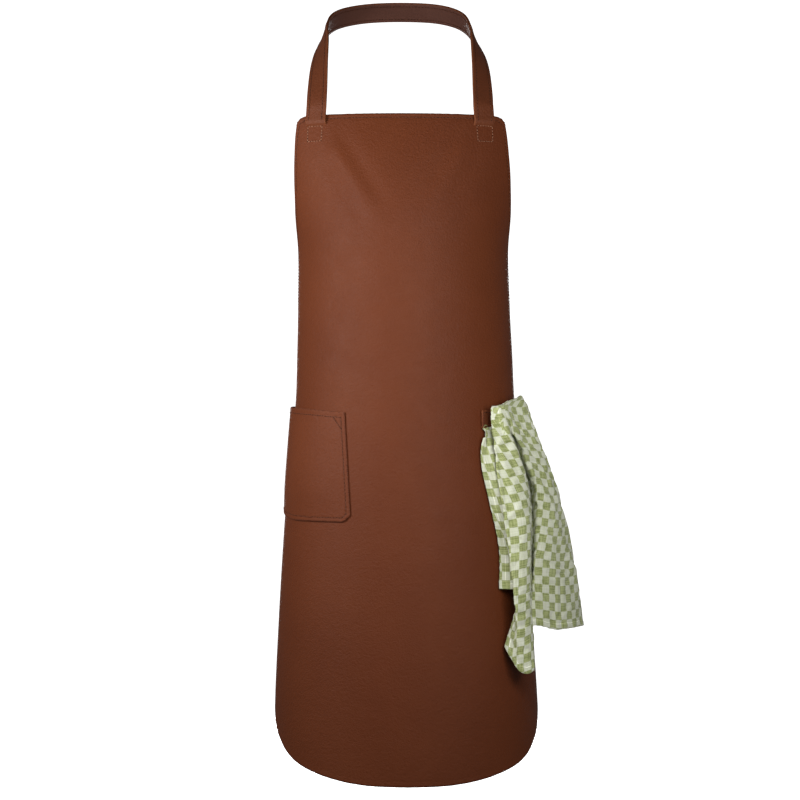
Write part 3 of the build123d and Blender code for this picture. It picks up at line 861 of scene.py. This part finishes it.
def make_pocket():
    """Outer points of the pocket's leather, sewn flat round three sides and bellied open at the top."""
    lines = [line * metric for line in pocket_lines()]
    u, v = graded(12, 0.0045, 46), graded(12, 0.0060, 40)
    angle, z = np.moveaxis(coons(*lines, u, v) / metric, -1, 0)
    base = form_point(angle, z, fit_gap)
    sewn_edges, rim = [], edge_distance(base, resample(base[0], step=border_step))
    for line in (base[:, -1], base[-1], base[:, 0]):
        sewn_edges.append(edge_distance(base, resample(line, step=border_step)))
    # Flat within 5 mm of the seams, then bellied out in about 26 mm, and more so near the mouth
    belly = np.ones(z.shape)
    for gap in sewn_edges:
        belly *= 1 - np.exp(-(np.clip(gap - 5 * MM, 0, 1) / (26 * MM)) ** 1.4)
    height = (z - z.min()) / (z.max() - z.min())
    room = belly * (2.6 + 2.4 * height) * MM
    ripple = 0.4 * MM * belly * np.sin(np.radians(angle * 5)) * np.sin(height * 5)
    # A faint lip inside the cut edge, a groove under the stitches, and the edge itself rolled over
    nearest = np.minimum(np.min(sewn_edges, axis=0), rim)
    lip_line = 0.05 * MM * np.exp(-((nearest - 1.6 * MM) / (1.0 * MM)) ** 2)
    seam_line = -0.22 * MM * np.exp(-((nearest - 5.2 * MM) / (0.7 * MM)) ** 2)
    turn = -0.40 * MM * np.exp(-nearest / (0.5 * MM))
    off = pocket_leather_thickness + room + ripple + lip_line + seam_line + turn
    return base + facing_down_axis(grid_normals(base), 0) * off[..., None]


pocket_outer = make_pocket()
pocket_normal = facing_down_axis(grid_normals(pocket_outer), 0)
on_pocket = surface_reader(pocket_outer)
side_pocket = shell("side_pocket_leather", pocket_outer, pocket_leather_thickness,
                    [pocket_leather, raw_edge, flesh_side], normals=pocket_normal)


def inset_line(line, inset, toward):
    """A line of points moved in over the pocket by inset, dropped on to its face."""
    spots, normals = on_pocket(resample(line, step=1.5 * MM))
    inward = turned_to(toward, spots, np.cross(unit(np.gradient(spots, axis=0)), normals))
    return on_pocket(spots + inward * inset)


pocket_middle = pocket_outer[pocket_outer.shape[0] // 2, pocket_outer.shape[1] // 2]
front_and_bottom = np.concatenate([pocket_outer[:, -1], pocket_outer[-1, ::-1][1:]])
side_inset, mouth_inset = 5.2 * MM, 6.5 * MM
pocket_seam_line = inset_line(front_and_bottom, side_inset, pocket_middle)
pocket_hem_line = inset_line(pocket_outer[0, ::-1], mouth_inset, pocket_middle)
pocket_runs = [stitch_line(*pocket_seam_line, start=mouth_inset),
               stitch_line(*pocket_hem_line, start=side_inset)]
# A small sewn triangle strengthens the mouth's front corner
corner_spot = pocket_outer[0, -1]
down = unit(pocket_outer[12, -1] - corner_spot)
sideways = unit(pocket_outer[0, -12] - corner_spot)
triangle = [corner_spot + sideways * x + down * y
            for x, y in ((side_inset, mouth_inset), (16 * MM, mouth_inset), (side_inset, 21 * MM))]
for a, b in ((triangle[1], triangle[2]), (triangle[0], triangle[1]), (triangle[2], triangle[0])):
    spots = on_pocket(a + (b - a) * np.linspace(0, 1, 16)[:, None])
    pocket_runs.append(stitch_line(*spots, pitch=short_pitch))


# ---------------------------------------------------------------- towel loop, waist strap
def form_band(name, angles, offs, z, width, thickness, crown=0.3 * MM):
    """A level leather band over the form; angles and offs are read along a smooth line."""
    knots = np.asarray(angles, float)
    at = np.linspace(knots[0], knots[-1], max(24, int(abs(knots[-1] - knots[0]) * 1.6)))
    off = smooth(at, knots, offs)
    line = form_point(at, np.full(len(at), z), off)
    return ribbon(name, line, form_normal(at, z), width, thickness, [strap_leather, strap_edge], crown=crown)


sewn_off = fit_gap + 0.6 * MM
loop_offs = (sewn_off, sewn_off, loop_stand_off / 2, loop_stand_off, loop_stand_off, loop_stand_off,
             loop_stand_off / 2, sewn_off, sewn_off)
towel_loop = form_band("towel_loop_leather", loop_angles, loop_offs, loop_mid_z, loop_height, loop_leather)
inside_face = -hide - fit_gap - waist_leather
# Each band of the waist strap: angles, and stand-off at each
waist_bands = {
    "waist_strap_anchor": ((-118.0, -106.0, -94.0), (inside_face,) * 3),
    "waist_tab": ((95.0, 124.0, 153.0), (inside_face,) * 3),
    "waist_strap": ((128.0, 150.0, 165.0, 185.0, 205.0, 225.0, 241.0),
                    (fit_gap, fit_gap, fit_gap, fit_gap * 0.74 + inside_face * 0.26,
                     fit_gap * 0.26 + inside_face * 0.74, inside_face, inside_face)),
}
waist_pieces = {name: form_band(name + "_leather", *shape, waist_z, waist_width, waist_leather)
                for name, shape in waist_bands.items()}


def band_box(start, end, half_height, off, z):
    """A sewn rectangle on a band between two angles."""
    runs = []
    corners = [(start, half_height), (end, half_height), (end, -half_height), (start, -half_height)]
    for (a0, h0), (a1, h1) in zip(corners, corners[1:] + corners[:1]):
        share = np.linspace(0, 1, box_steps)
        angle, rise = a0 + (a1 - a0) * share, h0 + (h1 - h0) * share
        points = form_point(angle, np.full(len(angle), z), off) + np.array([0, 0, 1.0]) * rise[:, None]
        runs.append(stitch_line(points, form_normal(angle, z), pitch=short_pitch))
    return runs


# ---------------------------------------------------------------- put together
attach(apron_panel, "apron")
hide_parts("apron_panel")
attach(side_pocket, "apron")
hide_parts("side_pocket")
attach(towel_loop, "apron")
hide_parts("towel_loop")
for node, band in waist_pieces.items():
    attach(band, "waist_strap" if node == "waist_strap" else "apron")
    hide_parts(node)
# The neck strap's outer layer and lining have their transforms baked in, and the CAD pieces they stand for
# are hidden
for strap, slot_name, nodes in ((outer, "apron_leather", ("neck_strap_outer", "neck_strap_left_end",
                                                           "neck_strap_right_end")),
                                (lining, "lining_leather", ("neck_strap_lining",))):
    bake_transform(strap)
    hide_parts(*nodes)

box_runs = box_stitch(feet["left"], -12.0 * MM, 8.5 * MM, -6.0 * MM, -25.0 * MM)
box_runs += box_stitch(feet["right"], -10.0 * MM, 12.0 * MM, -5.8 * MM, -25.5 * MM)
loop_runs = []
for start, end in ((42.0, 45.5), (98.5, 102.0)):
    loop_runs += band_box(start, end, 8.5 * MM, sewn_off + loop_leather + 0.2 * MM, loop_mid_z)
for start, end in ((-103.0, -96.0), (97.0, 103.0)):
    for inner in (False, True):
        off = inside_face - 0.2 * MM if inner else 0.1 * MM
        loop_runs += band_box(start, end, 10.0 * MM, off, waist_z)
for name, runs in (("bib_stitching", panel_runs), ("strap_box_stitching", box_runs),
                   ("pocket_stitching", pocket_runs), ("band_stitching", loop_runs)):
    # The strap boxes get the lighter thread, which carries a painted highlight as well as the thread's tan.
    sewn_in = tan_thread_painted_highlight if name == "strap_box_stitching" else brown_thread
    stitching = thread(name, runs, [sewn_in, needle_hole_painted_shade])
    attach(stitching, "apron")
strap_stitching = thread("neck_strap_stitching", strap_runs, [brown_thread, needle_hole_painted_shade])
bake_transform(strap_stitching)

for name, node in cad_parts.items():
    if name.startswith("press_stud"):
        node.data.materials.clear()
        node.data.materials.append(brass)

# ---------------------------------------------------------------- tea towel
# Fold lines across the cloth, in mm: place across the cut, then (x, y) at the loop, at two heights and at
# the hem, and the height of the hem there
towel_rails = [
    (0.000, (121, -196), (141, -184), (149, -188), (130, -190), -811),
    (0.033, (113, -197), (127, -198), (142, -202), (148, -201), -839),
    (0.070, (125, -191), (157, -187), (159, -192), (163, -197), -838),
    (0.105, (128, -180), (163, -136), (166, -142), (160, -160), -808),
    (0.140, (126, -190), (169, -162), (166, -176), (163, -184), -785),
    (0.180, (140, -176), (185, -150), (196, -158), (197, -166), -791),
    (0.225, (154, -152), (197, -119), (219, -114), (231, -110), -790),
    (0.270, (151, -140), (168, -114), (180, -108), (186, -104), -789),
    (0.315, (157, -130), (188, -98), (204, -90), (210, -86), -787),
    (0.360, (153, -116), (162, -92), (174, -80), (180, -76), -784),
    (0.400, (155, -106), (176, -80), (188, -66), (196, -60), -782),
]
# The two heights, and how far each fold line's place on them follows its hem up or down from the usual one
towel_levels = ((-620, 0.35), (-720, 0.7))
usual_hem_z = -795
loop_front_z = -518
# Height of the cloth where it turns over the loop, at each fold line
towel_crown = np.array([-515, -515, -511, -509, -508, -505, -501, -502, -507, -508, -511])
# Back half, from its hem up: height, first and last angle, middle stand-off and depth of the pleats
towel_back = ((-739, (45.5, 86), 15.0, 11.0), (-690, (46.5, 86), 14.0, 10.5), (-630, (42, 86), 11.5, 8.0),
              (-575, (38, 86), 9.5, 6.0), (-548, (40.5, 85), 7.8, 4.2), (-530, (50, 85), 6.4, 3.2))


def towel_surface(count_w, count_l):
    """The hanging cloth as a grid: rows from the back hem over the loop to the front hem."""
    knots = np.array([r[0] for r in towel_rails]) / towel_rails[-1][0] * towel_width
    zigzag = np.array([(-1.0) ** k for k in range(len(towel_rails))])
    rows = []
    for z, spread, middle, swing in towel_back:
        angles = np.linspace(*spread, len(towel_rails))
        rows.append(form_point(angles, np.full(len(angles), z * MM), (middle - swing * zigzag) * MM))
    loop_row = np.array([(*r[1], loop_front_z) for r in towel_rails]) * MM
    outward = unit(loop_row * (1, 1, 0) - (0, body_y, 0))
    loop_row = loop_row + outward * (zigzag * 3.0 + 2.0)[:, None] * MM
    inner_row = rows[-1]
    crown = (loop_row + inner_row) / 2
    crown[:, 2] = towel_crown * MM
    rows += [inner_row + (0, 0, 13 * MM), crown, loop_row]
    hem_z = np.array([r[5] for r in towel_rails])
    for k, (z, follow) in enumerate(towel_levels):
        height = z + (hem_z - usual_hem_z) * follow
        rows.append(np.array([(*r[2 + k], h) for r, h in zip(towel_rails, height)]) * MM)
    rows.append(np.array([(*r[4], r[5]) for r in towel_rails]) * MM)
    rows = np.array(rows)
    lengths = np.concatenate([[0], np.cumsum(np.linalg.norm(np.diff(rows, axis=0), axis=2).mean(1))])
    at_l, at_w = np.linspace(0, lengths[-1], count_l), np.linspace(0, towel_width, count_w)
    columns = smooth(at_l, lengths, rows)
    surface = smooth(at_w, knots, np.moveaxis(columns, 1, 0))
    return np.moveaxis(surface, 1, 0), at_l, at_w


def wrinkles(points, at_l, at_w, crown_row):
    """Small folds that run down the cloth from the loop and fan out, and slower swells between them."""
    away = np.abs(at_l - at_l[crown_row])[:, None]
    across = at_w[None, :]
    fine_wave, fine_rise, slow_wave, slow_rise = 0.026, 1.0, 0.071, 1.5
    fan = 1 / (0.55 + away / 0.30)
    fine = np.sin(2 * math.pi * across * fan / fine_wave + 5.0 * np.sin(across * 31) + 9 * away)
    slow = np.sin(2 * math.pi * across / slow_wave + 13 * away + 1.3) * np.sin(17 * away + 40 * across)
    strength = np.clip(away / 0.05, 0.25, 1) * np.clip(1.25 - away / 0.36, 0.35, 1)
    rise = fine * fine_rise * strength + slow * slow_rise * np.clip(away / 0.1, 0, 1)
    return points + grid_normals(points) * (rise * MM)[..., None]


def soft_obstacle(name, angles, heights, off, columns, rows):
    """A plain sheet over the form that the cloth rests against while it settles."""
    angle, z = np.meshgrid(np.linspace(*angles, columns), np.linspace(*heights, rows))
    return make_object(name, form_point(angle, z, off).reshape(-1, 3), grid_quads(rows, columns), [])


def settle(points, held, frames):
    """Runs cloth from the folded start shape, gripped in the loop and loosely held elsewhere, with a little
    cloth to spare that buckles into wrinkles, and returns where it comes to rest."""
    rows, columns = points.shape[:2]
    cloth_object = make_object("cloth_in_work", points.reshape(-1, 3), grid_quads(rows, columns), [])
    group = cloth_object.vertex_groups.new(name="held")
    for i, weight in enumerate(held.ravel()):
        if weight > 0:
            group.add([i], float(weight), "REPLACE")
    modifier = cloth_object.modifiers.new("cloth", "CLOTH")
    cloth = modifier.settings
    cloth.quality = 8
    cloth.mass = 0.0006
    cloth.air_damping = 2.0
    cloth.shrink_min = -0.03
    cloth.pin_stiffness = 1.0
    cloth.tension_stiffness = cloth.compression_stiffness = 8.0
    cloth.shear_stiffness = 3.0
    cloth.bending_stiffness = 0.02
    cloth.tension_damping = cloth.compression_damping = 2.0
    cloth.bending_damping = 0.3
    cloth.vertex_group_mass = "held"
    hits = modifier.collision_settings
    hits.collision_quality = 3
    hits.distance_min = 0.0012
    obstacles = [soft_obstacle("form_obstacle", (15, 125), (-0.47, -0.93), 0.4 * MM, 60, 60)]
    band_copy = bpy.data.objects.new("band_obstacle", towel_loop.data.copy())
    bpy.context.scene.collection.objects.link(band_copy)
    obstacles.append(band_copy)
    for obstacle in obstacles:
        obstacle.modifiers.new("collision", "COLLISION")
        obstacle.collision.thickness_outer = 0.0008
        obstacle.collision.cloth_friction = 12.0
    modifier.point_cache.frame_start, modifier.point_cache.frame_end = 1, frames
    scene = bpy.context.scene
    scene.frame_start, scene.frame_end = 1, frames
    for number in range(1, frames + 1):
        scene.frame_set(number)
    evaluated = cloth_object.evaluated_get(bpy.context.evaluated_depsgraph_get())
    settled = np.array([v.co for v in evaluated.data.vertices], float).reshape(rows, columns, 3)
    scene.frame_set(1)
    for leftover in (cloth_object, *obstacles):
        bpy.data.objects.remove(leftover)
    return settled


def refine(points, factor):
    """The same grid read at finer steps on smooth curves both ways."""
    for axis in (0, 1):
        count = points.shape[0]
        at = np.linspace(0, count - 1, (count - 1) * factor + 1)
        points = np.moveaxis(smooth(at, np.arange(count), points), 1, 0)
    return points


def cloth_coordinates(points, crown_row, seam_column):
    """Place in the weave at each point: distance across from the hidden fold, and along from the loop."""
    steps_w = np.linalg.norm(np.diff(points, axis=1), axis=2)
    steps_l = np.linalg.norm(np.diff(points, axis=0), axis=2)
    across = np.concatenate([np.zeros((len(points), 1)), np.cumsum(steps_w, 1)], 1)
    along = np.concatenate([np.zeros((1, points.shape[1])), np.cumsum(steps_l, 0)], 0)
    across -= across[:, seam_column:seam_column + 1]
    along -= along[crown_row:crown_row + 1]
    return np.stack([across, along, np.zeros_like(along)], -1)


towel_points, towel_l, towel_w = towel_surface(101, 133)
crown_row = int(np.argmax(towel_points[:, :, 2].mean(1)))
seam_place = towel_rails[3][0] / towel_rails[-1][0] * towel_width
seam_column = int(np.argmin(np.abs(towel_w - seam_place)))
flat = cloth_coordinates(refine(towel_points, 2), crown_row * 2, seam_column * 2)
fine_l, fine_w = (np.linspace(0, at[-1], 2 * len(at) - 1) for at in (towel_l, towel_w))
towel_points = wrinkles(towel_points, towel_l, towel_w, crown_row)
# The cloth is gripped from just behind the loop's crown to just under its front, and loosely held elsewhere
from_crown = towel_l[:, None] - towel_l[crown_row]
gripped = np.where((from_crown > -0.034) & (from_crown < 0.048), 1.0, 0.30) * np.ones(towel_points.shape[1])
towel_points = settle(towel_points, gripped, 10)
towel_points = refine(towel_points, 2)
# Distance to the nearest edge of the cloth, which places the hem's line and its double thickness
hem = np.minimum(*np.meshgrid(np.minimum(fine_w, fine_w[-1] - fine_w),
                              np.minimum(fine_l, fine_l[-1] - fine_l)))
flat[..., 2] = hem
thickness = (0.8 + 0.7 * np.clip((hem_width - hem) / 0.0006, 0, 1)) * MM
towel = shell("tea_towel_cloth", towel_points, thickness, [towel_cloth], flat=flat)
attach(towel, "tea_towel")
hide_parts("tea_towel")


# ---------------------------------------------------------------- stage, lights, camera
def studio_white(emission):
    """Matt white paper, lit just enough to show as pure white."""
    return Nodes("studio_white").set(Base_Color=(0.9, 0.9, 0.9, 1.0), Roughness=0.9, Specular_IOR_Level=0.1,
                                     Emission_Color=(1, 1, 1, 1), Emission_Strength=emission)


def studio_bowl():
    """A pale floor that curves up into a backdrop all round."""
    floor_z, radius, bend, top_z, turns = -1.20, 5.0, 1.0, 6.0, 64
    line = [(0.01, floor_z), (radius - bend, floor_z)]
    line += [(radius - bend + bend * math.sin(a), floor_z + bend * (1 - math.cos(a)))
             for a in np.linspace(0.1, math.pi / 2, 12)]
    line.append((radius, top_z))
    around = [2 * math.pi * k / turns for k in range(turns)]
    points = [(r * math.cos(a), r * math.sin(a), z) for r, z in line for a in around]
    faces = []
    for ring in range(0, (len(line) - 1) * turns, turns):
        for k in range(turns):
            j = (k + 1) % turns
            faces.append((ring + k, ring + j, ring + turns + j, ring + turns + k))
    return make_object("studio_bowl", points, faces, [studio_white(1.10)])


bowl = studio_bowl()
bowl.visible_glossy = bowl.visible_diffuse = bowl.visible_shadow = False


def area_light(name, azimuth, height, distance, width, tall, power):
    """A softbox that faces the body's axis at its own height; azimuth 0 is in front, positive to +X."""
    light = bpy.data.lights.new(name, "AREA")
    light.shape = "RECTANGLE"
    light.size, light.size_y, light.energy = width, tall, power
    obj = bpy.data.objects.new(name, light)
    a = math.radians(azimuth)
    back = Vector((math.sin(a), -math.cos(a), 0.0))
    obj.location = Vector((0.0, body_y, height)) + back * distance
    obj.rotation_mode = "QUATERNION"
    obj.rotation_quaternion = back.to_track_quat("Z", "Y")
    bpy.context.scene.collection.objects.link(obj)


# Azimuth, height, distance, width, height of the box, watts
area_light("softbox_left", -54, -0.31, 0.82, 0.50, 0.40, 7.9)
area_light("softbox_front", 14, -0.33, 0.84, 0.40, 0.30, 4.0)
area_light("softbox_right", 34, -0.46, 0.90, 0.20, 0.30, 2.1)
area_light("back_fill", 180, -0.40, 2.6, 1.6, 1.2, 42)

world = bpy.data.worlds.new("studio_air")
world.use_nodes = True
world.node_tree.nodes["Background"].inputs["Color"].default_value = (1.0, 1.0, 1.0, 1.0)
world.node_tree.nodes["Background"].inputs["Strength"].default_value = 0.14
bpy.context.scene.world = world
bpy.context.scene.view_settings.view_transform = "Standard"

# A long lens from far in front, level with the middle of the apron, as the photograph is taken
camera_data = bpy.data.cameras.new("camera")
camera_data.lens, camera_data.sensor_width = 120.0, 36.0
camera = bpy.data.objects.new("camera", camera_data)
camera.location = (0.0, -3.488, -0.506)
camera.rotation_euler = (math.pi / 2, 0.0, 0.0)
bpy.context.scene.collection.objects.link(camera)
bpy.context.scene.camera = camera
